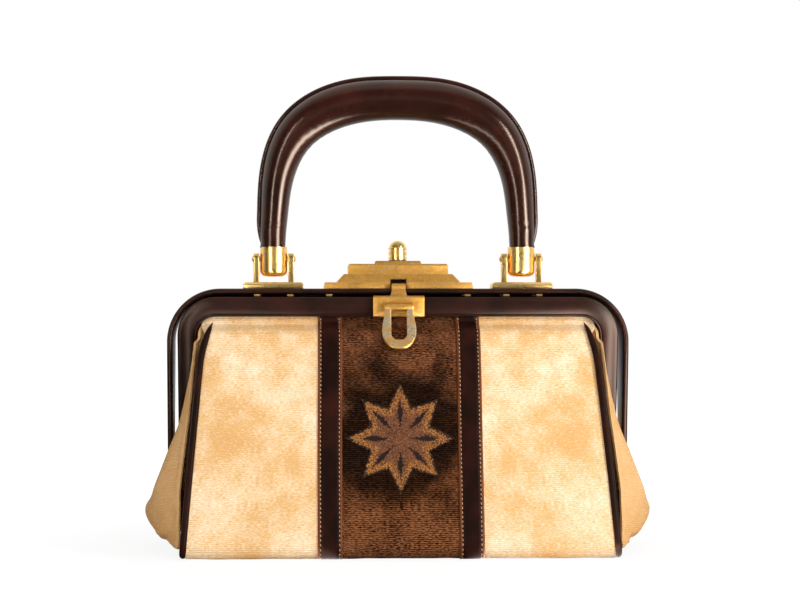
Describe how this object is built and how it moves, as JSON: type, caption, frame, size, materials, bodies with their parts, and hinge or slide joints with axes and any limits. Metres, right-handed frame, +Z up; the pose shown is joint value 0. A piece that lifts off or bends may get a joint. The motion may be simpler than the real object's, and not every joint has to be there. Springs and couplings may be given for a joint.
{
  "type": "velvet frame handbag",
  "caption": "Frame handbag of cream and brown velvet with leather straps, a hinged front jaw, brass push lock with drop ring, and an arched padded leather handle.",
  "frame": {"origin": "centre of the bag's footprint on the surface it stands on", "axes": "+X to the viewer's right across the front, +Y towards the rear, +Z up; the clasp side faces -Y"},
  "size_m": [0.2902, 0.1386, 0.2687],
  "materials": {
    "cream_velvet": "cut velvet with fine cross rows, softly crushed",
    "brown_velvet": "cut velvet with fine cross rows, mottled",
    "flat_weave": "flat woven, golden brown",
    "dark_leather": "polished smooth leather, very dark brown",
    "brass": "gilt brass, rubbed to silver on the edges",
    "steel": "plain steel",
    "lining_cloth": "plain twill",
    "fibreboard": "hard fibreboard"
  },
  "bodies": {
    "bag_body": {"base_board": "fibreboard", "brown_panel_centre": "brown_velvet", "cream_panel_left": "cream_velvet", "cream_panel_right": "cream_velvet", "gusset_left": "cream_velvet", "gusset_right": "cream_velvet", "handle_bracket_left": "brass", "handle_bracket_right": "brass", "handle_pin_left": "brass", "handle_pin_right": "brass", "hinge_pin_left": "brass", "hinge_pin_right": "brass", "lining": "lining_cloth", "lock_plate": "brass", "lock_spring": "steel", "mounting_prongs": "brass", "outer_hoop": "dark_leather", "piping_left": "dark_leather", "piping_right": "dark_leather", "rear_jaw": "dark_leather", "rear_jaw_clips": "steel", "rear_lug_left": "steel", "rear_lug_right": "steel", "star_motif": "flat_weave", "strap_left": "dark_leather", "strap_right": "dark_leather"},
    "front_jaw_frame": {"front_jaw": "dark_leather", "hasp_plate": "brass", "front_lug_left": "steel", "front_lug_right": "steel"},
    "ring": {"pull_ring": "brass"},
    "knob": {"lock_knob": "brass", "lock_catch": "brass"},
    "handle": {"handle_grip": "dark_leather", "handle_ferrule_left": "brass", "handle_ferrule_right": "brass"}
  },
  "joints": [
    {"name": "front_jaw_hinge", "type": "hinge", "parent": "bag_body", "child": "front_jaw_frame", "pos_m": [0, 0, 0.046], "axis": [1, 0, 0], "range_deg": [0, 50], "deforming": ["brown_panel_centre", "cream_panel_left", "cream_panel_right", "gusset_left", "gusset_right", "lining", "piping_left", "piping_right", "star_motif", "strap_left", "strap_right"]},
    {"name": "ring_swing", "type": "hinge", "parent": "front_jaw_frame", "child": "ring", "pos_m": [0, -0.02582, 0.137], "axis": [-1, 0, 0], "range_deg": [0, 140]},
    {"name": "lock_knob_push", "type": "slide", "parent": "bag_body", "child": "knob", "axis": [0, 0, -1], "range_m": [0, 0.003], "stiffness_N_per_m": 600, "springref_m": -0.001, "deforming": ["lock_spring"]},
    {"name": "handle_swing", "type": "hinge", "parent": "bag_body", "child": "handle", "pos_m": [0, 0, 0.1644], "axis": [1, 0, 0], "range_deg": [-100, 100]}
  ]
}
